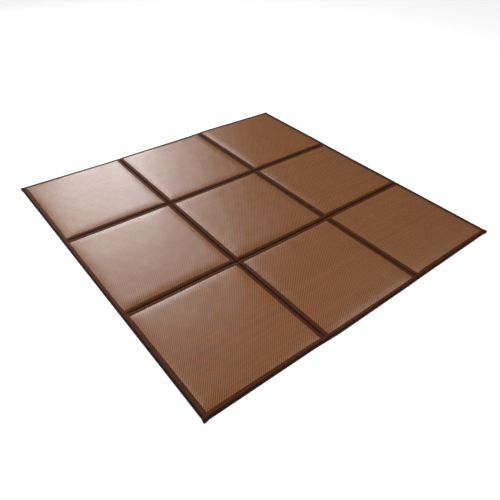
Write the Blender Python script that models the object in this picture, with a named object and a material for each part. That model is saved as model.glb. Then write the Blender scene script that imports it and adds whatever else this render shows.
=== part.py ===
"""A large square tatami mat for a floor.

Nine woven pads lie three by three and are sewn into one mat that folds between
them. Each pad is a filled form: flat below, pressed down under the tape, swelling
up beside the sewing to a low crown. Dark tape covers the folds, and four more
tapes wrap the outer edges, mitred at the corners.

The mat lies flat. +Z is up, the floor is z = 0, and the origin is on the floor
under the middle of the mat. Every piece is first worked out on a true square
grid, and is then shifted a few millimetres to where the uneven real mat has it.
"""

import math

import bmesh
import bpy
import numpy as np

# Driving sizes, in metres
PANEL = 0.600            # one pad, from fold to fold
HALF = 1.5 * PANEL       # from the middle of the mat to its outer edge
BAND_HEIGHT = 0.0205     # height of the woven face where tape presses it down
PUFF = 0.0045            # how far a pad swells up beside its sewing
PUFF_REACH = 0.055       # how far in from the sewing it has swelled up
CROWN = 0.0020           # what the middle of a pad rises above that
FOLD_DEPTH = 0.0110      # depth of the fold itself, between the pads' round edges
FOLD_DEPTH_AT_RIM = 0.0030
FOLD_REACH = 0.0130      # half the width of the fold at its top
FOLD_REACH_AT_RIM = 0.0070
ROLL_POWER = 2.5         # higher is a steeper edge

# Binding tape
TAPE = 0.0012            # thickness
HALF_BAND = 0.0215       # half the width of the tape over a fold
BORDER = 0.0200          # width of the outer tape on the top of the mat
SEAM_INSET = 0.0030      # from a tape's edge to its row of sewing
UNDER = 0.0160           # width of the outer tape under the mat
CLEAR = 0.00045          # between a tape and the pad below it
GAP = 0.0004             # between pieces that lie side by side
INSET = TAPE + CLEAR     # from the outer face of the mat to the side of a pad
LIFT = TAPE + CLEAR      # from the floor to a pad, over the tape's lower leg
TOP_ROUND = 0.0050       # radius of a pad's upper outer edge
FOOT_ROUND = 0.0030      # height of the slope at its lower outer edge

# Where the points of a net lie, measured from a fold or from an outer edge
SEAM = HALF_BAND - SEAM_INSET
RIM_SEAM = BORDER - SEAM_INSET
ACROSS_TAPE = (0.003, 0.007, FOLD_REACH, SEAM, HALF_BAND)
SWELLING = (0.0100, 0.0260, 0.0515)    # from a row of sewing inwards
FROM_FOLD = ACROSS_TAPE[:4] + tuple(SEAM + step for step in SWELLING)
FROM_RIM = (INSET, INSET + TOP_ROUND * (1 - math.cos(math.radians(45))),
            INSET + TOP_ROUND, 0.012, RIM_SEAM) + tuple(RIM_SEAM + step for step in SWELLING)
WELD = 0.00001           # points this close are one point

# How far each line of the real mat lies off the true grid, in millimetres. It is
# given where each panel beside it begins and ends, and is even in between.
SHIFT_PLACES = (-0.86, -0.37, -0.23, 0.23, 0.37, 0.86)
LINE_PLACES = (-HALF, BORDER - HALF, -PANEL / 2, PANEL / 2, HALF - BORDER, HALF)
X_LINE_SHIFTS = (
    # front panel,   middle,       back
    (-2.5, -1.0,   -0.5, 0.5,    1.5, 2.5),     # left edge
    (2.0, 4.0,     -1.5, 0.0,    4.5, 9.0),     # inner edge of its tape
    (0.0, -2.0,    -7.0, -4.5,   -3.5, -2.0),   # left fold
    (7.0, -0.5,    -3.5, -6.0,   -2.5, -5.0),   # right fold
    (3.5, 1.0,     -3.0, -7.5,   -4.0, -9.5),   # inner edge of the right tape
    (9.0, 7.0,     6.0, 2.0,     4.5, 1.0),     # right edge
)
Y_LINE_SHIFTS = (
    # left panel,    middle,       right
    (0.5, -1.0,    -6.5, -3.0,   -0.5, 4.5),    # front edge
    (3.0, -1.5,    -7.5, -6.0,   3.5, 3.5),     # inner edge of its tape
    (3.5, -0.5,    -6.0, -8.5,   -2.0, -2.5),   # front fold
    (11.5, 6.0,    -3.0, -3.5,   -0.5, -1.0),   # back fold
    (13.0, 4.5,    7.0, 8.5,     18.5, 5.5),    # inner edge of the back tape
    (11.0, 0.0,    4.0, 8.5,     17.0, 7.0),    # back edge
)
# Brings the middle of the shifted outline back over the origin
RECENTRE_X = -0.0034
RECENTRE_Y = -0.0050
CORNER_PUSH = 0.0045     # how far the folded tape stands out at an outer corner
CORNER_REACH = 0.020     # how far from the corner that starts
CORNER_BLUNT = 0.0080    # how far from the corner its tip is rounded off
TIP_SHARE = 0.4          # how much of the push the tip lacks

COLUMNS = ("left", "middle", "right")    # along +X
ROWS = ("front", "middle", "back")       # along +Y

# Colours, linear
WEAVE_COLOUR = (0.235, 0.120, 0.062)
TAPE_COLOUR = (0.042, 0.016, 0.009)


def ease(t):
    """From 0 to 1 with a soft start and end."""
    t = min(max(t, 0.0), 1.0)
    return t * t * (3 - 2 * t)


def mix(a, b, t):
    return a + (b - a) * t


def rolled(distance, reach):
    """0 at a drawn-down edge, 1 from reach inwards: steep first, then level."""
    return 1 - (1 - min(distance / reach, 1.0)) ** ROLL_POWER


def fold_distance(place):
    """From a place along X or Y to the nearest fold across it."""
    return abs(abs(place) - PANEL / 2)


def crowned(place):
    """1 at the middle of a panel, 0 at its edges."""
    off_centre = PANEL / 2 - min(fold_distance(place), HALF - abs(place))
    return 1 - (off_centre / (PANEL / 2)) ** 2


def puffed(place):
    """0 under a tape, 1 where a pad has swelled up."""
    from_seam = min(fold_distance(place) - SEAM, HALF - abs(place) - RIM_SEAM)
    return rolled(max(from_seam, 0.0), PUFF_REACH)


def face_height(x, y):
    """Height of the woven face, before its outer edge is rounded."""
    edge = min(HALF - abs(x), HALF - abs(y))
    inland = ease((edge - BORDER) / (2 * BORDER))
    reach = mix(FOLD_REACH_AT_RIM, FOLD_REACH, inland)
    in_fold = 1 - rolled(fold_distance(x), reach) * rolled(fold_distance(y), reach)
    swelled = (PUFF + CROWN * crowned(x) * crowned(y)) * puffed(x) * puffed(y)
    return BAND_HEIGHT + swelled - mix(FOLD_DEPTH_AT_RIM, FOLD_DEPTH, inland) * in_fold


def rounded_off(edge):
    """How much the upper outer edge falls away at a distance from the outer face."""
    inwards = edge - INSET
    if inwards >= TOP_ROUND:
        return 0.0
    across = TOP_ROUND - inwards
    return TOP_ROUND - math.sqrt(max(TOP_ROUND ** 2 - across ** 2, 0.0))


def pad_height(x, y):
    """Height of a pad's upper face at a place on the true grid."""
    return face_height(x, y) - rounded_off(min(HALF - abs(x), HALF - abs(y)))


def shift_between(table, across, along):
    """The shift at a place in metres, mixed from the two lines that it lies between."""
    shifts = [np.interp(along, SHIFT_PLACES, values) for values in table]
    return float(np.interp(across, LINE_PLACES, shifts)) / 1000


def laid(point):
    """A point of the true grid, moved to where the uneven mat has it."""
    x, y, z = point
    from_x = HALF - abs(x)
    from_y = HALF - abs(y)
    knob = ease(1 - from_x / CORNER_REACH) * ease(1 - from_y / CORNER_REACH)
    tip = ease(1 - from_x / CORNER_BLUNT) * ease(1 - from_y / CORNER_BLUNT)
    push = CORNER_PUSH * (knob - TIP_SHARE * tip)
    moved_x = x + shift_between(X_LINE_SHIFTS, x, y) + math.copysign(push, x)
    moved_y = y + shift_between(Y_LINE_SHIFTS, y, x) + math.copysign(push, y)
    return (moved_x + RECENTRE_X, moved_y + RECENTRE_Y, z)


def net(columns, rows, place):
    """A net with its points where place(column, row) says, its quads all cut one way."""
    bm = bmesh.new()
    bmesh.ops.create_grid(bm, x_segments=columns, y_segments=rows, size=1.0)
    bmesh.ops.triangulate(bm, faces=bm.faces, quad_method="FIXED")
    for vert in bm.verts:
        column = round((vert.co.x + 1) / 2 * columns)
        row = round((vert.co.y + 1) / 2 * rows)
        vert.co = place(column, row)
    bmesh.ops.remove_doubles(bm, verts=bm.verts, dist=WELD)
    return bm


def open_edges(bm):
    return [edge for edge in bm.edges if edge.is_boundary]


def add_piece(name, bm, material, collection):
    """Close the form, lay it in its uneven place and add it as an object."""
    bmesh.ops.holes_fill(bm, edges=open_edges(bm), sides=0)
    for vert in bm.verts:
        vert.co = laid(vert.co)
    bmesh.ops.recalc_face_normals(bm, faces=bm.faces)
    mesh = bpy.data.meshes.new(name)
    bm.to_mesh(mesh)
    bm.free()
    mesh.shade_smooth()
    mesh.set_sharp_from_angle(angle=math.radians(40))
    mesh.materials.append(material)
    piece = bpy.data.objects.new(name, mesh)
    collection.objects.link(piece)
    return piece


def panel_places(index):
    """The places of a pad's net along X or Y, for the panel with this index."""
    low_line = index * PANEL - HALF
    high_line = low_line + PANEL
    low_steps = FROM_RIM if index == 0 else (GAP / 2,) + FROM_FOLD
    high_steps = FROM_RIM if index == 2 else (GAP / 2,) + FROM_FOLD
    low = [low_line + step for step in low_steps]
    high = [high_line - step for step in reversed(high_steps)]
    return low + [low_line + PANEL / 2] + high


def drawn_in(place, index, places, inset):
    """A place on a pad's rim, moved in by inset where that side is an outer one."""
    low = places[0] + (inset if index == 0 else 0.0)
    high = places[-1] - (inset if index == 2 else 0.0)
    return min(max(place, low), high)


def make_pad(column, row, material, collection):
    """One filled pad: a swelling, crowned net above, sides, and a flat foot."""
    xs = panel_places(column)
    ys = panel_places(row)
    bm = net(len(xs) - 1, len(ys) - 1,
             lambda i, j: (xs[i], ys[j], pad_height(xs[i], ys[j])))
    outer = column != 1 or row != 1
    under = UNDER - INSET + GAP
    steps = ((0.0, LIFT + FOOT_ROUND), (FOOT_ROUND, LIFT), (under, LIFT), (under, 0.0))
    for inset, height in steps if outer else ((0.0, 0.0),):
        grown = bmesh.ops.extrude_edge_only(bm, edges=open_edges(bm))["geom"]
        for vert in (item for item in grown if isinstance(item, bmesh.types.BMVert)):
            vert.co = (drawn_in(vert.co.x, column, xs, inset),
                       drawn_in(vert.co.y, row, ys, inset), height)
    bmesh.ops.remove_doubles(bm, verts=bm.verts, dist=WELD)
    name = f"pad_{ROWS[row]}_{COLUMNS[column]}"
    return add_piece(name, bm, material, collection)


def slope_at(x, y):
    """The woven face's slopes along X and Y, each measured away from the nearest fold."""
    step = 0.0002
    slopes = []
    for along_x in (True, False):
        place = x if along_x else y
        fold = math.copysign(PANEL / 2, place)
        away = math.copysign(step, place - fold) if place != fold else step
        there = face_height(x + away, y) if along_x else face_height(x, y + away)
        slopes.append((there - face_height(x, y)) / away)
    return slopes


def above_face(x, y, lift):
    """A height over the woven face that keeps a sheet lift away from it, square to it."""
    slope_x, slope_y = slope_at(x, y)
    return face_height(x, y) + lift * math.sqrt(1 + slope_x ** 2 + slope_y ** 2)


def make_fold_tape(name, fold, places, along_y, material, collection):
    """A tape over a fold: a thin gull-winged sheet that dips into the fold."""
    acrosses = [-step for step in reversed(ACROSS_TAPE)] + [0.0] + list(ACROSS_TAPE)
    section = [(across, CLEAR) for across in acrosses]
    section += [(across, CLEAR + TAPE) for across in reversed(acrosses)]

    def place(column, row):
        across, lift = section[row % len(section)]
        x, y = places[column], fold + across
        if along_y:
            x, y = y, x
        return (x, y, above_face(x, y, lift))

    bm = net(len(places) - 1, len(section), place)
    return add_piece(name, bm, material, collection)


def places_between(start, end, lines):
    """The net's places between two ends, close together beside the given fold lines."""
    steps = [line + side * step for line in lines for side in (-1, 1) for step in (0.0,) + FROM_FOLD]
    steps += [-PANEL, 0.0, PANEL]
    inner = sorted({round(step, 6) for step in steps if start + WELD < step < end - WELD})
    return [start] + inner + [end]


def border_path(station, lift):
    """The outer tape's section at a station along it: how far in, and how high.

    It runs from the woven face over the rounded edge, down the side and back
    under the pad, lifted off the pad by the same amount all the way. Near an end
    the station is held back to the mitre.
    """
    path = []
    for inwards in (BORDER, RIM_SEAM, 0.012, INSET + TOP_ROUND):
        along = min(station, HALF - inwards)
        path.append((inwards, above_face(HALF - inwards, along, lift)))
    for degrees in (45, 0):
        turn = math.radians(degrees)
        inwards = INSET + TOP_ROUND * (1 - math.cos(turn))
        along = min(station, HALF - inwards)
        steeper = math.hypot(1.0, slope_at(HALF - inwards, along)[1])
        top = face_height(HALF - inwards, along) - TOP_ROUND
        path.append((inwards - lift * math.cos(turn),
                     top + (TOP_ROUND + lift * steeper) * math.sin(turn)))
    shorter = math.tan(math.radians(22.5)) * lift
    path.append((INSET - lift, LIFT + FOOT_ROUND - shorter))
    path.append((INSET + FOOT_ROUND - shorter, LIFT - lift))
    path.append((UNDER, LIFT - lift))
    return path


def make_border(side, material, collection):
    """The tape along one outer edge, mitred at both ends."""
    folds = (-PANEL / 2, PANEL / 2)
    inner = places_between(FROM_RIM[-1] - HALF, HALF - FROM_RIM[-1], folds)[1:-1]
    ends = [HALF] + [HALF - step for step in FROM_RIM]
    places = [-end for end in ends] + inner + ends[::-1]
    sections = [border_path(abs(station), CLEAR) + border_path(abs(station), CLEAR + TAPE)[::-1]
                for station in places]

    def place(column, row):
        inwards, height = sections[column][row % len(sections[column])]
        edge = HALF - inwards
        mitre = edge - GAP / 2
        along = min(max(places[column], -mitre), mitre)
        return {
            "front": (along, -edge, height),
            "back": (along, edge, height),
            "left": (-edge, along, height),
            "right": (edge, along, height),
        }[side]

    bm = net(len(places) - 1, len(sections[0]), place)
    return add_piece(f"border_{side}", bm, material, collection)


def make_material(name, colour, roughness):
    material = bpy.data.materials.new(name)
    material.use_nodes = True
    shader = material.node_tree.nodes["Principled BSDF"]
    shader.inputs["Base Color"].default_value = (*colour, 1.0)
    shader.inputs["Roughness"].default_value = roughness
    shader.inputs["Metallic"].default_value = 0.0
    material.diffuse_color = (*colour, 1.0)
    return material


def main():
    for item in list(bpy.data.objects):
        bpy.data.objects.remove(item)
    collection = bpy.data.collections.new("tatami_mat")
    bpy.context.scene.collection.children.link(collection)
    weave = make_material("woven_strand", WEAVE_COLOUR, 0.38)
    tape = make_material("binding_tape", TAPE_COLOUR, 0.55)

    for row in range(3):
        for column in range(3):
            make_pad(column, row, weave, collection)

    # Two long tapes run across the whole mat, and short ones fill in between
    folds = (-PANEL / 2, PANEL / 2)
    reach = HALF - BORDER - GAP
    for name, fold in zip(("fold_tape_front", "fold_tape_back"), folds):
        make_fold_tape(name, fold, places_between(-reach, reach, folds), False, tape, collection)
    past_band = PANEL / 2 + HALF_BAND + GAP
    before_band = PANEL / 2 - HALF_BAND - GAP
    spans = ((-reach, -past_band), (-before_band, before_band), (past_band, reach))
    for column, fold in zip(("left", "right"), folds):
        for row, (start, end) in zip(ROWS, spans):
            make_fold_tape(f"cross_tape_{row}_{column}", fold,
                           places_between(start, end, folds), True, tape, collection)

    for side in ("front", "back", "left", "right"):
        make_border(side, tape, collection)


main()
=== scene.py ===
# %% [markdown]
# # A tatami mat of nine woven pads
#
# This script dresses a square floor mat. Its solids, which carry the real sizes,
# are loaded first as a fixed frame. Each piece is then made again with a finer
# surface, in the same place: the strands of the weave, the turned edges of the
# tape, and the sewing. Every length is in metres. +Z is up, and the floor is z = 0.

# %% Load the solids
import math

import bmesh
import bpy
import numpy as np
from mathutils import Matrix, Vector


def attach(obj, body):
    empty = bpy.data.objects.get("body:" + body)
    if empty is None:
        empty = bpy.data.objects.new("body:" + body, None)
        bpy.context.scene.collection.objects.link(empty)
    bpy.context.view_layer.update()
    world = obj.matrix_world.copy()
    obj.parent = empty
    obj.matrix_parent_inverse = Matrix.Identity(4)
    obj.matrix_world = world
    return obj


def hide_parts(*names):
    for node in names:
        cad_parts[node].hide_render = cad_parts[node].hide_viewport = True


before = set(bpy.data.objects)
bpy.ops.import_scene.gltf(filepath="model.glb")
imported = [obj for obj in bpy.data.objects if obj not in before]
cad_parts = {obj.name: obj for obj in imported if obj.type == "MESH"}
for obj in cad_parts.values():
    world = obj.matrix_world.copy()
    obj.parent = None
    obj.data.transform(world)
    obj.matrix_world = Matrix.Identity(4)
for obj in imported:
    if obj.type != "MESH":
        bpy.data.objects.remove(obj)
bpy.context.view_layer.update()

# %% [markdown]
# ## Sizes
#
# The real mat is nine filled pads of 600 mm, three by three. Its folds, bands and
# rounded edges could each be drawn by hand, but then nothing would fit when one
# of them changed. A few named sizes drive them all instead, the same ones as in
# the solids, so the fine pieces land exactly on the plain ones.

# %% Name the sizes
PANEL = 0.600            # one pad, from fold to fold
HALF = 1.5 * PANEL       # from the middle of the mat to its outer edge
BAND_HEIGHT = 0.0205     # height of the woven face where tape presses it down
PUFF = 0.0045            # how far a pad swells up beside its sewing
PUFF_REACH = 0.055       # how far in from the sewing it has swelled up
CROWN = 0.0020           # what the middle of a pad rises above that
FOLD_DEPTH = 0.0110      # depth of the fold itself, between the pads' round edges
FOLD_DEPTH_AT_RIM = 0.0030
FOLD_REACH = 0.0130      # half the width of the fold at its top
FOLD_REACH_AT_RIM = 0.0070
ROLL_POWER = 2.5         # higher is a steeper edge
HALF_BAND = 0.0215       # half the width of the tape over a fold
BORDER = 0.0200          # width of the outer tape on the top of the mat
SEAM_INSET = 0.0030      # from a tape's edge to its row of sewing
UNDER = 0.0160           # width of the outer tape under the mat
TOP_ROUND = 0.0050       # radius of a pad's upper outer edge
FOOT_ROUND = 0.0030      # height of the slope at its lower outer edge
INSET = 0.00165          # from the outer face of the mat to the side of a pad
SKIN = 0.00165           # from the woven face up to the top of a tape
TOUCH = 0.00010          # from the woven face up to the underside of a tape
GAP = 0.0004             # between two pads at the bottom of a fold

COLUMNS = ("left", "middle", "right")    # along +X
ROWS = ("front", "middle", "back")       # along +Y
print("mat", 2 * HALF, "m square, pads", PANEL, "m")

# %% [markdown]
# ## The form of the woven face
#
# A filled pad is full in the middle. It is pressed flat under the tape, swells up
# just inside the sewing, and drops steeply into the fold. One height for any place
# on the mat describes that. It could be sculpted, but a formula gives the pads and
# the tape on them the same surface, so that the tape neither floats nor sinks.

# %% Heights of the woven face
def ease(t):
    """From 0 to 1 with a soft start and end."""
    t = np.clip(t, 0.0, 1.0)
    return t * t * (3 - 2 * t)


def mix(a, b, t):
    return a + (b - a) * t


def rolled(distance, reach):
    """0 at a drawn-down edge, 1 from reach inwards: steep first, then level."""
    return 1 - (1 - np.minimum(distance / reach, 1.0)) ** ROLL_POWER


def fold_distance(place):
    """From a place along X or Y to the nearest fold across it."""
    return abs(abs(place) - PANEL / 2)


def crowned(place):
    """1 at the middle of a panel, 0 at its edges."""
    off_centre = PANEL / 2 - np.minimum(fold_distance(place), HALF - abs(place))
    return 1 - (off_centre / (PANEL / 2)) ** 2


def puffed(place):
    """0 under a tape, 1 where a pad has swelled up."""
    from_tape = np.minimum(fold_distance(place) - HALF_BAND, HALF - abs(place) - BORDER)
    return rolled(np.maximum(from_tape + SEAM_INSET, 0.0), PUFF_REACH)


def face_height(x, y):
    """Height of the taut woven face, before its outer edge is rounded."""
    edge = np.minimum(HALF - abs(x), HALF - abs(y))
    inland = ease((edge - BORDER) / (2 * BORDER))
    reach = mix(FOLD_REACH_AT_RIM, FOLD_REACH, inland)
    in_fold = 1 - rolled(fold_distance(x), reach) * rolled(fold_distance(y), reach)
    swelled = (PUFF + CROWN * crowned(x) * crowned(y)) * puffed(x) * puffed(y)
    return BAND_HEIGHT + swelled - mix(FOLD_DEPTH_AT_RIM, FOLD_DEPTH, inland) * in_fold


print("face at the middle of a pad", round(1000 * float(face_height(0.0, 0.0)), 1), "mm,",
      "in a fold", round(1000 * float(face_height(0.3, 0.0)), 1), "mm")

# %% [markdown]
# ## Waves and dents
#
# No woven face lies dead flat. It ripples a little where the sewing gathers it,
# swells unevenly over its filling, and keeps a few dents. A noise modifier could
# do this, but would also lift the tape off the pad. So the waves are added sines
# in the same height that the tape follows, a fraction of a millimetre high.

# %% Add waves and dents
WAVES = (
    # length along X, length along Y, turn in radians, height in millimetres
    (0.410, 0.530, 0.4, 0.22),
    (0.270, -0.350, 2.1, 0.16),
    (-0.180, 0.610, 4.0, 0.12),
    (0.730, 0.190, 5.2, 0.14),
    (0.092, 0.131, 0.9, 0.09),
    (-0.078, 0.149, 3.3, 0.07),
    (0.137, -0.083, 1.7, 0.08),
)
DENTS = (
    # x, y, radius, depth in millimetres
    (-0.683, 0.559, 0.022, 0.35),
    (-0.560, 0.700, 0.035, 0.30),
    (-0.180, -0.650, 0.060, 0.30),
    (0.620, 0.150, 0.050, 0.30),
    (0.090, 0.100, 0.040, 0.25),
)
RIPPLE = 0.00022         # height of the ripples beside the sewing
RIPPLE_LENGTH = 0.034    # from one ripple to the next
RIPPLE_REACH = 0.045     # how far they run in from a tape


def seam_ripple(across, along):
    """Ripples along a seam, which fade out towards the middle of the pad."""
    reach = np.clip(1 - (fold_distance(across) - HALF_BAND) / RIPPLE_REACH, 0.0, 1.0)
    wander = 1.7 * np.sin(9.0 * along + 5.0 * across)
    return reach * np.sin(2 * math.pi * along / RIPPLE_LENGTH + wander)


def lying_height(x, y):
    """The woven face as it really lies: taut form, waves, ripples and dents."""
    x, y = np.asarray(x, float), np.asarray(y, float)
    swell = sum(height * np.sin(2 * math.pi * (x / length_x + y / length_y) + turn)
                for length_x, length_y, turn, height in WAVES)
    dents = sum(depth * np.exp(-((x - at_x) ** 2 + (y - at_y) ** 2) / radius ** 2)
                for at_x, at_y, radius, depth in DENTS)
    near_fold = np.minimum(fold_distance(x), fold_distance(y))
    inland = ease((np.minimum(HALF - abs(x), HALF - abs(y)) - BORDER) / BORDER)
    off_fold = ease((near_fold - FOLD_REACH) / FOLD_REACH)
    ripple = RIPPLE * (seam_ripple(x, y) + seam_ripple(y, x))
    return face_height(x, y) + inland * off_fold * (ripple + (swell - dents) / 1000)


print(len(WAVES), "waves and", len(DENTS), "dents")

# %% [markdown]
# ## The uneven outline
#
# The real mat isn't a true square: each fold and edge strays a few millimetres,
# and the folded tape makes a small knob at each outer corner. A lattice could bend
# the finished pieces. A short table of how far each line strays does it more
# plainly: every point is worked out on a true grid, and is then shifted with the
# lines on both sides of it.

# %% Shift the lines
SHIFT_PLACES = (-0.86, -0.37, -0.23, 0.23, 0.37, 0.86)    # where each panel begins and ends
LINE_PLACES = np.array((-HALF, BORDER - HALF, -PANEL / 2, PANEL / 2, HALF - BORDER, HALF))
X_LINE_SHIFTS = (
    # lines along Y, in millimetres
    # front panel,   middle,       back
    (-2.5, -1.0,   -0.5, 0.5,    1.5, 2.5),     # left edge
    (2.0, 4.0,     -1.5, 0.0,    4.5, 9.0),     # inner edge of its tape
    (0.0, -2.0,    -7.0, -4.5,   -3.5, -2.0),   # left fold
    (7.0, -0.5,    -3.5, -6.0,   -2.5, -5.0),   # right fold
    (3.5, 1.0,     -3.0, -7.5,   -4.0, -9.5),   # inner edge of the right tape
    (9.0, 7.0,     6.0, 2.0,     4.5, 1.0),     # right edge
)
Y_LINE_SHIFTS = (
    # lines along X, in millimetres
    # left panel,    middle,       right
    (0.5, -1.0,    -6.5, -3.0,   -0.5, 4.5),    # front edge
    (3.0, -1.5,    -7.5, -6.0,   3.5, 3.5),     # inner edge of its tape
    (3.5, -0.5,    -6.0, -8.5,   -2.0, -2.5),   # front fold
    (11.5, 6.0,    -3.0, -3.5,   -0.5, -1.0),   # back fold
    (13.0, 4.5,    7.0, 8.5,     18.5, 5.5),    # inner edge of the back tape
    (11.0, 0.0,    4.0, 8.5,     17.0, 7.0),    # back edge
)
RECENTRE_X, RECENTRE_Y = -0.0034, -0.0050
CORNER_PUSH = 0.0045     # how far the folded tape stands out at an outer corner
CORNER_REACH = 0.020     # how far from the corner that starts
CORNER_BLUNT = 0.0080    # how far from the corner its tip is rounded off
TIP_SHARE = 0.4          # how much of the push the tip lacks


def shift_between(table, across, along):
    """The shift at a place in metres, mixed from the two lines that it lies between."""
    line = np.clip(np.searchsorted(LINE_PLACES, across) - 1, 0, len(table) - 2)
    lines = [np.interp(along, SHIFT_PLACES, values) for values in table]
    share = (across - LINE_PLACES[line]) / np.diff(LINE_PLACES)[line]
    return mix(np.choose(line, lines[:-1]), np.choose(line, lines[1:]), share) / 1000


def laid(points):
    """Points of the true grid, moved to where the uneven mat has them."""
    x, y, z = points.T
    from_x, from_y = HALF - abs(x), HALF - abs(y)
    knob = ease(1 - from_x / CORNER_REACH) * ease(1 - from_y / CORNER_REACH)
    tip = ease(1 - from_x / CORNER_BLUNT) * ease(1 - from_y / CORNER_BLUNT)
    push = CORNER_PUSH * (knob - TIP_SHARE * tip)
    moved_x = x + shift_between(X_LINE_SHIFTS, x, y) + np.copysign(push, x) + RECENTRE_X
    moved_y = y + shift_between(Y_LINE_SHIFTS, y, x) + np.copysign(push, y) + RECENTRE_Y
    return np.column_stack((moved_x, moved_y, z))


print("a corner lies at", laid(np.array([[HALF, HALF, 0.0]])).round(4).tolist())

# %% [markdown]
# ## Building with small nodes
#
# A finish in Blender is a small machine of nodes. Wired by hand in the editor it
# is easy to try out, and in a script it is long to read. One helper that adds a
# sum node and returns its result lets a finish be written almost like arithmetic.

# %% Helpers for finishes
def new_finish(name, colour, roughness):
    """A material with its shader, and the tree that they stand in."""
    material = bpy.data.materials.new(name)
    material.use_nodes = True
    shader = material.node_tree.nodes["Principled BSDF"]
    shader.inputs["Base Color"].default_value = (*colour, 1.0)
    shader.inputs["Roughness"].default_value = roughness
    material.diffuse_color = (*colour, 1.0)
    return material, shader, material.node_tree


def feed(tree, socket, value):
    """Sets a socket, or links it when the value comes out of another node."""
    if isinstance(value, bpy.types.NodeSocket):
        tree.links.new(value, socket)
    else:
        socket.default_value = value


def calc(tree, operation, *values):
    """Adds a sum node and returns its result."""
    node = tree.nodes.new("ShaderNodeMath")
    node.operation = operation
    for socket, value in zip(node.inputs, values):
        feed(tree, socket, value)
    return node.outputs["Value"]


def vector_of(tree, x, y, z=0.0):
    node = tree.nodes.new("ShaderNodeCombineXYZ")
    for name, value in zip("XYZ", (x, y, z)):
        feed(tree, node.inputs[name], value)
    return node.outputs["Vector"]


def chance(tree, vector):
    """A random number from 0 to 1, one for each vector."""
    node = tree.nodes.new("ShaderNodeTexWhiteNoise")
    node.noise_dimensions = "3D"
    feed(tree, node.inputs["Vector"], vector)
    return node.outputs["Value"]


def cloudy(tree, vector, scale, detail=2.0):
    """Soft noise from 0 to 1."""
    node = tree.nodes.new("ShaderNodeTexNoise")
    feed(tree, node.inputs["Vector"], vector)
    node.inputs["Scale"].default_value = scale
    node.inputs["Detail"].default_value = detail
    return node.outputs["Fac"]


def span(tree, value, low, high):
    """Stretches a value of 0 to 1 over a range."""
    node = tree.nodes.new("ShaderNodeMapRange")
    feed(tree, node.inputs["Value"], value)
    feed(tree, node.inputs["To Min"], low)
    feed(tree, node.inputs["To Max"], high)
    return node.outputs["Result"]


def tinted(tree, colour_a, colour_b, share):
    """A colour between two colours."""
    node = tree.nodes.new("ShaderNodeMix")
    node.data_type = "RGBA"
    feed(tree, node.inputs["Factor"], share)
    for name, colour in (("A", colour_a), ("B", colour_b)):
        socket = next(item for item in node.inputs if item.name == name and item.type == "RGBA")
        feed(tree, socket, colour)
    return next(item for item in node.outputs if item.type == "RGBA")


def raise_surface(tree, shader, height, distance, strength=1.0):
    """Fine relief by a bump node: height runs from 0 to 1 over distance."""
    node = tree.nodes.new("ShaderNodeBump")
    node.inputs["Distance"].default_value = distance
    node.inputs["Strength"].default_value = strength
    feed(tree, node.inputs["Height"], height)
    tree.links.new(node.outputs["Normal"], shader.inputs["Normal"])


def stored_place(tree, name):
    """The three numbers that a mesh keeps at each point under this name."""
    node = tree.nodes.new("ShaderNodeAttribute")
    node.attribute_name = name
    parts = tree.nodes.new("ShaderNodeSeparateXYZ")
    tree.links.new(node.outputs["Vector"], parts.inputs["Vector"])
    return parts.outputs["X"], parts.outputs["Y"], parts.outputs["Z"]


print("helpers ready")

# %% [markdown]
# ## The woven face: finish
#
# The face is a two and two twill of smooth flat strands, like split cane: each
# strand goes over two others and under two, one step on from its neighbour, so
# slanting lines run across it. A picture of cane would repeat and blur. Here each
# point of the mesh keeps its strand numbers, and the nodes work out from those
# which strand is on top, how far it is from that strand's edges and ends, and a
# shade of its own for each strand. Light is painted in too: painted shade where a
# strand dives at its edges and ends, and a painted sheen that makes the strands
# along Y paler than those along X.

# %% Finish of the woven face
CANE = (0.174, 0.066, 0.024, 1.0)
CANE_PALE = (0.400, 0.177, 0.078, 1.0)
# Painted shade, for where a strand dives under the strands beside it
CANE_GAP_SHADE = (0.060, 0.020, 0.008, 1.0)
CANE_RELIEF = 0.00012    # height of one strand's round back
STRAND_SHARE = 0.40      # how much paler a strand's own shade can make it
PATCH_SHARE = 0.25       # the same for soft patches over many strands
# Painted sheen: the strands along Y are the same cane as those along X, painted paler because
# they catch the light more.
CROSSING_SHEEN = 0.75    # how much paler the strands along Y are
PATCH_SCALE = 0.022      # patches of tone, in noise waves a strand
HANDLED_SCALE = 0.060    # patches of polish
POLISH = (0.16, 0.28)    # roughness, where most and least handled

woven_cane, shader, tree = new_finish("woven_cane", CANE[:3], 0.32)
lengthwise, crosswise, pad_number = stored_place(tree, "strands")
column = calc(tree, "ROUND", lengthwise)
row = calc(tree, "ROUND", crosswise)
turn = calc(tree, "FLOORED_MODULO", calc(tree, "SUBTRACT", column, row), 4.0)
along_y_on_top = calc(tree, "LESS_THAN", turn, 1.5)

# How far across its strand a point lies, and how far along its float, from -1 to 1
across_y_strand = calc(tree, "MULTIPLY", calc(tree, "SUBTRACT", lengthwise, column), 2.0)
across_x_strand = calc(tree, "MULTIPLY", calc(tree, "SUBTRACT", crosswise, row), 2.0)
steps_y = calc(tree, "ADD", calc(tree, "SUBTRACT", column, crosswise), 0.5)
steps_x = calc(tree, "SUBTRACT", calc(tree, "SUBTRACT", lengthwise, row), 1.5)
along_y_strand = calc(tree, "SUBTRACT", calc(tree, "FLOORED_MODULO", steps_y, 4.0), 1.0)
along_x_strand = calc(tree, "SUBTRACT", calc(tree, "FLOORED_MODULO", steps_x, 4.0), 1.0)


def strand_back(across, along):
    """1 on the back of a strand, 0 where it dives at its sides and ends."""
    sides = calc(tree, "SUBTRACT", 1.0, calc(tree, "POWER", calc(tree, "ABSOLUTE", across), 3.0))
    ends = calc(tree, "SUBTRACT", 1.0, calc(tree, "POWER", calc(tree, "ABSOLUTE", along), 5.0))
    return calc(tree, "MULTIPLY", sides, ends)


def strand_shade(number, other_way):
    """A shade of its own for each strand of each pad."""
    return chance(tree, vector_of(tree, number, other_way, pad_number))


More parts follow.
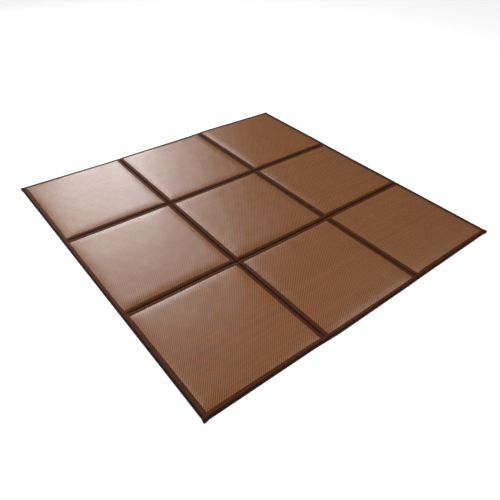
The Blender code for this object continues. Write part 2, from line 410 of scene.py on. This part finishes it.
def chosen(for_x, for_y):
    """The value of whichever strand is on top."""
    from_y = calc(tree, "MULTIPLY", for_y, along_y_on_top)
    from_x = calc(tree, "MULTIPLY", for_x, calc(tree, "SUBTRACT", 1.0, along_y_on_top))
    return calc(tree, "ADD", from_x, from_y)


back = chosen(strand_back(across_x_strand, along_x_strand),
              strand_back(across_y_strand, along_y_strand))
shade = chosen(strand_shade(row, 33.0), strand_shade(column, 77.0))
patches = cloudy(tree, vector_of(tree, lengthwise, crosswise, pad_number), PATCH_SCALE)
handled = cloudy(tree, vector_of(tree, crosswise, lengthwise, pad_number), HANDLED_SCALE)
tone = calc(tree, "ADD", calc(tree, "MULTIPLY", shade, STRAND_SHARE),
            calc(tree, "MULTIPLY", patches, PATCH_SHARE))
# Painted sheen: the strands along Y are painted paler than those along X.
tone = calc(tree, "ADD", tone, calc(tree, "MULTIPLY", along_y_on_top, CROSSING_SHEEN))
cane = tinted(tree, CANE, CANE_PALE, tone)
# Painted shade: a strand is painted darker at its sides and ends, where it dives under the
# strands beside it.
gap_shade_share = span(tree, back, 0.75, 0.0)
feed(tree, shader.inputs["Base Color"], tinted(tree, cane, CANE_GAP_SHADE, gap_shade_share))
feed(tree, shader.inputs["Roughness"], span(tree, handled, *POLISH))
raise_surface(tree, shader, back, CANE_RELIEF)
print("woven face:", len(tree.nodes), "nodes")

# %% [markdown]
# ## The binding: finish
#
# The tape is a matt brown cotton with fine ribs across it, and the sewing thread
# is a shade darker. A plain colour would look like paint. The mesh keeps where
# each point lies on the tape, across and along, so the ribs follow the tape round
# its folds, and the nodes fade the cloth a little in patches, as wear does. A
# third number paints shade on it, in the depth of a fold and down the outer
# side, where little light comes.

# %% Finish of the tape and the thread
TAPE_BROWN = (0.066, 0.0185, 0.0060, 1.0)
TAPE_WORN = (0.098, 0.034, 0.0135, 1.0)
# Painted shade, for the depth of a fold and the outer side, where little light comes
TAPE_SHADE = (0.010, 0.0045, 0.003, 1.0)
RIB_PITCH = 0.0011       # from one rib of the tape to the next
RIB_RELIEF = 0.00016

binding_cloth, shader, tree = new_finish("binding_cloth", TAPE_BROWN[:3], 0.72)
across, along, darker = stored_place(tree, "tape_place")
rib = calc(tree, "PINGPONG", calc(tree, "DIVIDE", along, RIB_PITCH), 0.5)
yarn = calc(tree, "PINGPONG", calc(tree, "DIVIDE", across, RIB_PITCH * 0.6), 0.5)
cloth_relief = calc(tree, "ADD", rib, calc(tree, "MULTIPLY", yarn, 0.5))
fuzz = cloudy(tree, vector_of(tree, across, along), 240.0, 4.0)
patches = cloudy(tree, vector_of(tree, across, along), 14.0, 3.0)
worn = calc(tree, "MULTIPLY", calc(tree, "ADD", fuzz, patches), 0.45)
top_brown = tinted(tree, TAPE_BROWN, TAPE_WORN, worn)
# Painted shade: the third stored number darkens the tape in its folds and down its outer side.
feed(tree, shader.inputs["Base Color"], tinted(tree, top_brown, TAPE_SHADE, darker))
shader.inputs["Specular IOR Level"].default_value = 0.07
feed(tree, shader.inputs["Roughness"], span(tree, patches, 0.50, 0.66))
raise_surface(tree, shader, cloth_relief, RIB_RELIEF)

THREAD_BROWN = (0.034, 0.014, 0.009, 1.0)
sewing_thread, shader, tree = new_finish("sewing_thread", THREAD_BROWN[:3], 0.5)
place = tree.nodes.new("ShaderNodeTexCoord").outputs["Object"]
twist = cloudy(tree, place, 900.0)
feed(tree, shader.inputs["Base Color"], tinted(tree, THREAD_BROWN, TAPE_WORN, twist))
raise_surface(tree, shader, twist, 0.0001)
print("tape and thread:", len(binding_cloth.node_tree.nodes), "and", len(tree.nodes), "nodes")

# %% [markdown]
# ## Making a piece from a net
#
# Pads and tapes are all nets of four-sided faces, bent into shape. Blender's own
# grid would do, but it knows nothing of strands and bands that lie closer at the
# edges. Here a piece is a table of points, one row of points after another, and
# the faces join each point to the next ones.

# %% Helpers for pieces
def net_faces(columns, rows, start=0, around=False):
    """The faces of a net of columns x rows points. around joins the last row to the first."""
    column, row = np.meshgrid(np.arange(columns - 1), np.arange(rows if around else rows - 1))
    this_row, next_row = row * columns, (row + 1) % rows * columns
    corners = (this_row + column, this_row + column + 1, next_row + column + 1, next_row + column)
    return start + np.stack([corner.ravel() for corner in corners], axis=1)


WELD = 0.000001          # points this close are one point


def new_piece(name, points, faces, finish, stored_name, stored):
    """A smooth welded mesh laid in its uneven place, with three numbers kept at each point."""
    mesh = bpy.data.meshes.new(name)
    mesh.from_pydata(laid(points).tolist(), [], [list(face) for face in faces])
    mesh.update()
    kept = mesh.attributes.new(stored_name, "FLOAT_VECTOR", "POINT")
    kept.data.foreach_set("vector", np.ascontiguousarray(stored, np.float32).ravel())
    bm = bmesh.new()
    bm.from_mesh(mesh)
    bmesh.ops.remove_doubles(bm, verts=bm.verts, dist=WELD)
    bm.to_mesh(mesh)
    bm.free()
    mesh.shade_smooth()
    mesh.materials.append(finish)
    piece = bpy.data.objects.new(name, mesh)
    bpy.context.scene.collection.objects.link(piece)
    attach(piece, "root")
    return piece


def triangles_in(piece):
    return sum(len(face.vertices) - 2 for face in piece.data.polygons)


print("a 3 x 2 net has", len(net_faces(3, 2)), "faces")

# %% [markdown]
# ## The nine pads
#
# A pad is a stiff filling with the woven face drawn over it. Each strand could be
# a ribbon of its own, but nine pads have four thousand of them. So the face is
# one net with a point wherever two strands cross. The point stands up where the
# strand along Y is on top, and lies lower where it dives, which makes the slanting
# ribs of the twill real relief. The net goes on over the rounded edges, down the
# sides, and closes with a flat foot.

# %% Make the pads
STRAND_X = 0.002525      # from one strand that runs along Y to the next
STRAND_Y = 0.003125      # from one strand that runs along X to the next
TWILL_RELIEF = 0.00012   # how far the ribs of the twill stand up
UNDER_TAPE = 0.0025      # how far the raised weave runs on under the tape
RANDOM = np.random.default_rng(11)
FOLD_SIDE_STEPS = (0.005, 0.013)    # from a fold to the face's lines under its tape
RIM_STEP = 0.012         # from the outer face to the last line before the weave
RIM_STRIDE = 4           # the sides have one point for this many of the face
SHARP_RIM = math.radians(50)


def edge_steps(outer):
    """Places of the net's first lines, measured inwards from a fold or outer edge."""
    if outer:
        turns = np.radians((0, 30, 60, 90))
        return list(INSET + TOP_ROUND * (1 - np.cos(turns))) + [RIM_STEP]
    return [GAP / 2] + list(FOLD_SIDE_STEPS)


def strand_places(index, pitch):
    """The net's places along X or Y for one panel, and the strand number of each."""
    low_line = index * PANEL - HALF
    high_line = low_line + PANEL
    start = low_line + (BORDER if index == 0 else HALF_BAND) - UNDER_TAPE
    end = high_line - (BORDER if index == 2 else HALF_BAND) + UNDER_TAPE
    count = round((end - start) / pitch)
    strands = np.linspace(start, end, count + 1)
    strands[1:-1] += RANDOM.uniform(-0.05, 0.05, count - 1) * pitch
    low = [low_line + step for step in edge_steps(index == 0)]
    high = [high_line - step for step in reversed(edge_steps(index == 2))]
    places = np.concatenate((low, strands, high))
    numbers = np.arange(len(places)) - len(low)
    return places, numbers


def rounded_off(edge):
    """How much the upper outer edge falls away at a distance from the outer face."""
    across = np.clip(TOP_ROUND - (edge - INSET), 0.0, TOP_ROUND)
    return TOP_ROUND - np.sqrt(TOP_ROUND ** 2 - across ** 2)


def twill(column_number, row_number, last_column, last_row):
    """1 where the strand along Y is on top, -1 where it is under, 0 outside the weave."""
    raised = np.where((column_number - row_number) % 4 < 2, 1.0, -1.0)
    inside = ((column_number >= 0) & (column_number <= last_column)
              & (row_number >= 0) & (row_number <= last_row))
    return raised * inside


def pad_rim(columns, rows):
    """The numbers of a net's outermost points, once round."""
    index = np.arange(columns * rows).reshape(rows, columns)
    return np.concatenate((index[0, :-1], index[:-1, -1], index[-1, :0:-1], index[:0:-1, 0]))


def rim_stops(columns, rows):
    """Which of the rim's points the coarser sides keep, always with the corners."""
    corners = np.cumsum((0, columns - 1, rows - 1, columns - 1, rows - 1))
    return np.concatenate([np.arange(start, end, RIM_STRIDE)
                           for start, end in zip(corners[:-1], corners[1:])])


def joined_to_rim(rim, stops, ring):
    """Faces from a fine rim down to a ring that has only its stops."""
    ends = np.append(stops[1:], len(rim))
    looped = np.append(rim, rim[0])
    return [[*looped[start:end + 1][::-1].tolist(), int(ring[i]), int(ring[(i + 1) % len(ring)])]
            for i, (start, end) in enumerate(zip(stops, ends))]


def drawn_in(place, places, index, inset):
    """Places on the rim, moved in by inset where that side is an outer one."""
    low = places[0] + (inset if index == 0 else 0.0)
    high = places[-1] - (inset if index == 2 else 0.0)
    return np.clip(place, low, high)


def side_rings(column, row, xs, ys, rim_x, rim_y):
    """Rings of points below the rim, drawn in where the outer tape wraps under."""
    under = UNDER - INSET + GAP
    outer = column != 1 or row != 1
    sides = ((0.0, INSET + FOOT_ROUND), (FOOT_ROUND, INSET), (under, INSET), (under, 0.0))
    return [np.column_stack((drawn_in(rim_x, xs, column, inset), drawn_in(rim_y, ys, row, inset),
                             np.full(len(rim_x), height)))
            for inset, height in (sides if outer else ((0.0, 0.0),))]


def side_faces(rim, stops, first, ring_count):
    """Faces from the rim to the first ring, on from ring to ring, and the flat foot."""
    ring = first + np.arange(len(stops))
    faces = joined_to_rim(rim, stops, ring)
    for _ in range(ring_count - 1):
        below = ring + len(stops)
        around = (np.roll(ring, -1), ring, below, np.roll(below, -1))
        faces += np.stack(around, axis=1).tolist()
        ring = below
    return faces + [ring[::-1].tolist()]


def woven_face(column, row):
    """The points of a pad's face, their strand numbers, and its places along X and Y."""
    xs, x_numbers = strand_places(column, STRAND_X)
    ys, y_numbers = strand_places(row, STRAND_Y)
    x, y = (item.ravel() for item in np.meshgrid(xs, ys))
    over_x, over_y = (item.ravel() for item in np.meshgrid(x_numbers, y_numbers))
    last_column = x_numbers[-1] - len(edge_steps(column == 2))
    last_row = y_numbers[-1] - len(edge_steps(row == 2))
    raised = twill(over_x, over_y, last_column, last_row)
    edge = np.minimum(HALF - abs(x), HALF - abs(y))
    z = lying_height(x, y) - rounded_off(edge) + TWILL_RELIEF / 2 * raised
    strands = np.column_stack((over_x, over_y, np.full(len(x), 3 * row + column)))
    return np.column_stack((x, y, z)), strands, xs, ys


def make_pad(column, row):
    """A woven face over a filled form with sides and a flat foot."""
    face, strands, xs, ys = woven_face(column, row)
    rim = pad_rim(len(xs), len(ys))
    stops = rim_stops(len(xs), len(ys))
    kept = rim[stops]
    rings = side_rings(column, row, xs, ys, face[kept, 0], face[kept, 1])
    faces = net_faces(len(xs), len(ys)).tolist() + side_faces(rim, stops, len(face), len(rings))
    node = f"pad_{ROWS[row]}_{COLUMNS[column]}"
    pad = new_piece(f"woven_{node}", np.concatenate([face] + rings), faces, woven_cane,
                    "strands", np.concatenate([strands] + [strands[kept]] * len(rings)))
    pad.data.set_sharp_from_angle(angle=SHARP_RIM)
    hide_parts(node)
    return pad


pads = [make_pad(column, row) for row in range(3) for column in range(3)]
print("pads", sum(triangles_in(pad) for pad in pads), "triangles")

# %% [markdown]
# ## The tapes over the folds
#
# The real tape is folded cotton with its raw edges turned under, sewn down along
# both sides and pushed into the fold. A flat strip with a bump would show no
# edge. So its section is drawn once, from edge to edge: a rounded turned edge, a
# furrow where the sewing pulls it down, a level band, and the dip into the fold.
# The section is then carried along the fold, riding on the height of the pads.

# %% Make the fold tapes
TAPE_STEP = 0.008        # from one section of a tape to the next
CLOSEST = 0.001          # no even section comes closer than this to those in a dip
# Painted shade: the tape is painted darker in the depth of the fold, where little light reaches.
GROOVE_REACH = 0.0095    # half the width over which the tape is darker in the fold
GROOVE_SHADE = 0.75       # how dark it gets there
SHARP_TAPE = math.radians(75)
BAND_SECTION = (
    # from the tape's edge, share of its full height
    (0.0000, 0.30),
    (0.0003, 0.72),
    (0.0010, 0.97),
    (0.0021, 1.00),
    (0.0030, 0.66),
    (0.0040, 1.00),
    (0.0060, 1.06),
)
FOLD_STEPS = (0.0130, 0.0100, 0.0075, 0.0055, 0.0038, 0.0024, 0.0012, 0.0)


def slope_of(x, y):
    """How steep the face is: the length of its surface over its length in plan."""
    step = 0.0002
    away_x = np.where(abs(x) < PANEL / 2, -step, step) * np.sign(x + (x == 0) * step)
    away_y = np.where(abs(y) < PANEL / 2, -step, step) * np.sign(y + (y == 0) * step)
    here = face_height(x, y)
    slope_x = (face_height(x + away_x, y) - here) / step
    slope_y = (face_height(x, y + away_y) - here) / step
    return np.sqrt(1 + slope_x ** 2 + slope_y ** 2)


def above_face(x, y, lift):
    """A height that keeps a tape lift away from the woven face, square to it."""
    return lying_height(x, y) + lift * slope_of(x, y)


def band_section():
    """Half the top of a fold tape: distances from the fold, and heights over the face."""
    outer = [(HALF_BAND - step, SKIN * share) for step, share in BAND_SECTION]
    return outer + [(step, SKIN) for step in FOLD_STEPS]


def stations(start, end, closer=()):
    """Places along a tape, with more of them where it dips over a crossing fold."""
    count = round((end - start) / TAPE_STEP)
    even = list(np.linspace(start, end, count + 1))
    extra = [line + side * step for line in closer for side in (-1, 1) for step in FOLD_STEPS]
    kept = [place for place in even
            if all(abs(place - line) > FOLD_STEPS[0] + CLOSEST for line in closer)]
    return np.array(sorted({round(place, 6) for place in kept + extra if start <= place <= end}))


def make_fold_tape(node, fold, start, end, along_y, closer):
    """A tape on a fold line, carried from start to end over the folds in closer."""
    half = band_section()
    top = [(-step, lift) for step, lift in half] + [(step, lift) for step, lift in half[-2::-1]]
    below = [(step, TOUCH) for step, lift in half[::2]]
    under = below + [(-step, lift) for step, lift in below[-2::-1]]
    section = np.array(top + under)
    places = stations(start, end, closer)
    along, across = np.meshgrid(places, section[:, 0])
    lift = np.meshgrid(places, section[:, 1])[1]
    along, across, lift = along.ravel(), across.ravel(), lift.ravel()
    x, y = (fold + across, along) if along_y else (along, fold + across)
    points = np.column_stack((x, y, above_face(x, y, lift)))
    count = len(places)
    faces = net_faces(count, len(section), around=True).tolist()
    faces += [list(range(0, len(points), count)), list(range(len(points) - 1, 0, -count))]
    if along_y:
        faces = [face[::-1] for face in faces]
    # Painted shade in the depth of the fold
    groove_shade = GROOVE_SHADE * ease(1 - abs(across) / GROOVE_REACH)
    tape = new_piece(f"sewn_{node}", points, faces, binding_cloth, "tape_place",
                     np.column_stack((across, along, groove_shade)))
    tape.data.set_sharp_from_angle(angle=SHARP_TAPE)
    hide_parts(node)
    return tape


FOLDS = (-PANEL / 2, PANEL / 2)
TAPE_END = HALF - BORDER - TOUCH
CROSS_END = PANEL / 2 - HALF_BAND - TOUCH
for node, fold in zip(("fold_tape_front", "fold_tape_back"), FOLDS):
    make_fold_tape(node, fold, -TAPE_END, TAPE_END, False, FOLDS)
past_band = PANEL / 2 + HALF_BAND + TOUCH
CROSS_SPANS = ((-TAPE_END, -past_band), (-CROSS_END, CROSS_END), (past_band, TAPE_END))
for side, fold in zip(("left", "right"), FOLDS):
    for row, (start, end) in zip(ROWS, CROSS_SPANS):
        node = f"cross_tape_{row}_{side}"
        make_fold_tape(node, fold, start, end, True, ())

# %% [markdown]
# ## The outer tapes
#
# One tape wraps each outer edge: over the face, round the rounded edge, down the
# side and back under the mat. It is the same cloth as the fold tapes, so it has
# the same turned edge and furrow. Its section is drawn once more, now as a path
# round the edge, and at the corners the ends are cut at 45 degrees to meet.

# %% Make the outer tapes
# Painted shade: the tape is painted darker where it turns down the outer side, which gets little
# light.
SIDE_SHADE_REACH = 0.0090     # how far in from the outer face the tape begins to darken
SIDE_TURNS = (68, 45, 22, 0)    # degrees, round the upper edge and down
# From a corner to the sections nearest to it, closest where the tape turns down
MITRE_STEPS = (0.0, INSET, 0.0030, INSET + TOP_ROUND, 0.009, 0.012, 0.016, BORDER, 0.025)
MITRE_REACH = 0.03       # from a corner to the first of the even sections


def border_path(station, lift_share):
    """The outer tape's section at a station: how far in from the edge, and how high."""
    full = lift_share * SKIN + (1 - lift_share) * TOUCH
    path = []
    for step, share in BAND_SECTION + ((0.0090, 1.0), (BORDER - INSET - TOP_ROUND, 1.0)):
        inwards = BORDER - step
        along = min(station, HALF - inwards)
        lift = mix(TOUCH, SKIN * share, lift_share)
        path.append((inwards, float(above_face(HALF - inwards, along, lift))))
    for degrees in SIDE_TURNS:
        turn = math.radians(degrees)
        inwards = INSET + TOP_ROUND * (1 - math.cos(turn))
        along = min(station, HALF - inwards)
        top = float(lying_height(HALF - inwards, along)) - TOP_ROUND
        path.append((inwards - full * math.cos(turn), top + (TOP_ROUND + full) * math.sin(turn)))
    middle = (path[-1][1] + INSET + FOOT_ROUND) / 2
    shorter = math.tan(math.radians(22.5)) * full
    path.append((path[-1][0], middle))
    path.append((INSET - full, INSET + FOOT_ROUND - shorter))
    path.append((INSET + FOOT_ROUND - shorter, INSET - full))
    path.append((UNDER, INSET - full))
    return path


def hidden_path(station):
    """The underside of the section, with only every other point along the face."""
    path = border_path(station, 0.0)
    level = len(BAND_SECTION)
    return path[:level - 1:-1] + path[level - 2::-2]


PLACED = {
    # side: where a place along the edge and a distance out from the middle lie
    "front": lambda along, out: (along, -out),
    "back": lambda along, out: (along, out),
    "left": lambda along, out: (-out, along),
    "right": lambda along, out: (out, along),
}


def make_border(side):
    """The tape round one outer edge, its ends cut to a mitre."""
    inner = stations(MITRE_REACH - HALF, HALF - MITRE_REACH, FOLDS)
    ends = HALF - np.array(MITRE_STEPS)
    places = np.concatenate((-ends, inner, ends[::-1]))
    sections = [border_path(abs(place), 1.0) + hidden_path(abs(place)) for place in places]
    section = np.array(sections)
    out = HALF - section[:, :, 0].T
    mitre = out - TOUCH / 2
    along = np.clip(np.broadcast_to(places, out.shape), -mitre, mitre)
    x, y = PLACED[side](along.ravel(), out.ravel())
    points = np.column_stack((x, y, section[:, :, 1].T.ravel()))
    rows = section.shape[1]
    count = len(places)
    faces = net_faces(count, rows, around=True).tolist()
    faces += [list(range(0, len(points), count)), list(range(len(points) - 1, 0, -count))]
    if side in ("front", "right"):
        faces = [face[::-1] for face in faces]
    # Painted shade down the outer side
    side_shade = ease(1 - (HALF - out.ravel()) / SIDE_SHADE_REACH)
    tape = new_piece(f"sewn_border_{side}", points, faces, binding_cloth, "tape_place",
                     np.column_stack((out.ravel(), along.ravel(), side_shade)))
    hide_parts(f"border_{side}")
    return tape


borders = {side: make_border(side) for side in PLACED}
print("outer tapes", sum(triangles_in(tape) for tape in borders.values()), "triangles")

# %% [markdown]
# ## The sewing
#
# A machine sews the tape down with stitches of about 4 mm. A line drawn in a
# material would lie flat. Each stitch is instead a grain of eight points that
# lies in the tape's furrow, and all the grains of one tape are one mesh, because
# thousands of separate objects would be slow. Each has its own small slant and
# length, as thread has.

# %% Sew the tapes down
STITCH_PITCH = 0.0050
STITCH_LENGTH = 0.0039
STITCH_HALF_WIDTH = 0.00042
STITCH_LIFT = 0.00008    # from the floor of the furrow to the middle of the thread
FURROW = dict(BAND_SECTION)[SEAM_INSET] * SKIN
# One stitch: along in half lengths, across and up in half widths
GRAIN = np.array([(-1, 0, -0.3)] + [(end, side, up) for end in (-0.55, 0.55)
                 for side, up in ((1, -0.3), (0, 0.9), (-1, -0.3))] + [(1, 0, -0.3)])
GRAIN_FACES = np.array([(1 + i, 1 + (i + 1) % 3, 4 + (i + 1) % 3, 4 + i) for i in range(3)])
GRAIN_ENDS = np.array([(0, 1 + (i + 1) % 3, 1 + i) for i in range(3)]
                      + [(7, 4 + i, 4 + (i + 1) % 3) for i in range(3)])


def stitch_row(along_y, line, start, end):
    """The points of one row of stitches on a line across X or Y."""
    count = int((end - start) / STITCH_PITCH)
    middles = start + (np.arange(count) + 0.5) * (end - start) / count
    slants = RANDOM.normal(0.0, 0.05, count)
    lengths = STITCH_LENGTH / 2 * RANDOM.uniform(0.93, 1.04, count)
    along = middles[:, None] + GRAIN[:, 0] * lengths[:, None]
    across = (line + GRAIN[:, 1] * STITCH_HALF_WIDTH
              + GRAIN[:, 0] * slants[:, None] * lengths[:, None])
    x, y = (across, along) if along_y else (along, across)
    ground = above_face(np.where(along_y, line, x), np.where(along_y, y, line), FURROW)
    height = ground + STITCH_LIFT + GRAIN[:, 2] * STITCH_HALF_WIDTH
    return np.column_stack((x.ravel(), y.ravel(), height.ravel()))


def make_sewing(name, rows):
    """All the stitches of one tape as one piece."""
    points = np.concatenate([stitch_row(*row) for row in rows])
    first = np.arange(0, len(points), len(GRAIN))
    faces = (first[:, None, None] + GRAIN_FACES).reshape(-1, 4).tolist()
    faces += (first[:, None, None] + GRAIN_ENDS).reshape(-1, 3).tolist()
    if rows[0][0]:
        faces = [face[::-1] for face in faces]
    sewing = new_piece(name, points, faces, sewing_thread, "tape_place", points)
    return sewing


seam = HALF_BAND - SEAM_INSET
sewing = []
for node, fold in zip(("fold_tape_front", "fold_tape_back"), FOLDS):
    rows = [(False, fold + side * seam, -TAPE_END, TAPE_END) for side in (-1, 1)]
    sewing.append(make_sewing(f"stitching_{node}", rows))
for side_name, fold in zip(("left", "right"), FOLDS):
    for row_name, (start, end) in zip(ROWS, CROSS_SPANS):
        rows = [(True, fold + side * seam, start, end) for side in (-1, 1)]
        sewing.append(make_sewing(f"stitching_cross_tape_{row_name}_{side_name}", rows))
outer_seam = HALF - BORDER + SEAM_INSET
for side in PLACED:
    line = outer_seam if side in ("back", "right") else -outer_seam
    rows = [(side in ("left", "right"), line, -outer_seam, outer_seam)]
    sewing.append(make_sewing(f"stitching_border_{side}", rows))
print("sewing", sum(triangles_in(item) for item in sewing), "triangles")

# %% [markdown]
# ## The tapes as cloth
#
# Each tape is a sheet that was cut flat before it was sewn on.


# %% [markdown]
# ## Floor, light and camera
#
# The mat is shown on a plain pale floor. Two tall window lights and a wide curtain
# light stand beyond its back edge, because the woven face is glossy at a flat
# angle: their soft images lie on the far left pads. Weaker panels in front and at
# the sides give the brown its even light. They hang where the camera sees no image
# of them on the mat. The camera stands where the photo was taken from, a little
# tilted.

# %% Floor and light
bpy.ops.mesh.primitive_plane_add(size=24.0, location=(0.0, 0.0, -0.0002))
floor = bpy.context.object
floor.name = "floor"
floor_paint, shader, tree = new_finish("floor_paint", (0.55, 0.55, 0.55), 0.9)
shader.inputs["Emission Color"].default_value = (1.0, 1.0, 1.0, 1.0)
shader.inputs["Emission Strength"].default_value = 0.85
shader.inputs["Specular IOR Level"].default_value = 0.0
floor.data.materials.append(floor_paint)

scene = bpy.context.scene
scene.view_settings.view_transform = "Standard"
scene.world = bpy.data.worlds.new("studio")
scene.world.use_nodes = True
scene.world.node_tree.nodes["Background"].inputs["Color"].default_value = (0.95, 0.97, 1.0, 1.0)
scene.world.node_tree.nodes["Background"].inputs["Strength"].default_value = 0.02


def soft_light(name, middle, size, power, colour):
    """A flat soft light that shines from middle towards the middle of the mat."""
    lamp = bpy.data.lights.new(name, "AREA")
    lamp.shape = "RECTANGLE"
    lamp.size, lamp.size_y = size
    lamp.energy = power
    lamp.color = colour
    light = bpy.data.objects.new(name, lamp)
    scene.collection.objects.link(light)
    light.rotation_euler = (-Vector(middle)).to_track_quat("-Z", "Y").to_euler()
    light.location = middle
    light.visible_camera = False
    return light


LIGHTS = (
    # name, middle, width and height, power in watts, colour
    ("left_window_light", (0.17, 3.20, 1.25), (0.46, 2.3), 14.5, (0.95, 0.98, 1.0)),
    ("right_window_light", (0.80, 3.20, 1.25), (0.50, 2.3), 16.0, (0.95, 0.98, 1.0)),
    ("curtain_light", (0.56, 3.25, 2.40), (3.0, 3.0), 69.0, (0.96, 0.98, 1.0)),
    ("front_panel", (-0.10, -2.40, 3.40), (1.6, 1.6), 58.0, (1.0, 0.98, 0.94)),
    ("left_panel", (-2.20, 0.90, 2.80), (1.6, 1.6), 53.0, (1.0, 0.98, 0.94)),
    ("right_panel", (2.30, -0.60, 3.20), (1.6, 1.6), 17.0, (1.0, 0.98, 0.94)),
)
for row in LIGHTS:
    soft_light(*row)

# %% Camera
CAMERA_PLACE = (-1.3973, -1.6857, 1.5482)
YAW, PITCH, ROLL = 40.353, 39.673, 2.521    # degrees: from +Y to the right, down, tilt
LENS = 35.15                                # millimetres, on a 36 mm sensor

camera_data = bpy.data.cameras.new("photo_camera")
camera_data.lens = LENS
camera_data.sensor_width = 36.0
camera = bpy.data.objects.new("photo_camera", camera_data)
scene.collection.objects.link(camera)
turned = (Matrix.Rotation(-math.radians(YAW), 3, "Z")
          @ Matrix.Rotation(math.radians(90 - PITCH), 3, "X")
          @ Matrix.Rotation(math.radians(ROLL), 3, "Z"))
camera.rotation_euler = turned.to_euler()
camera.location = CAMERA_PLACE
scene.camera = camera
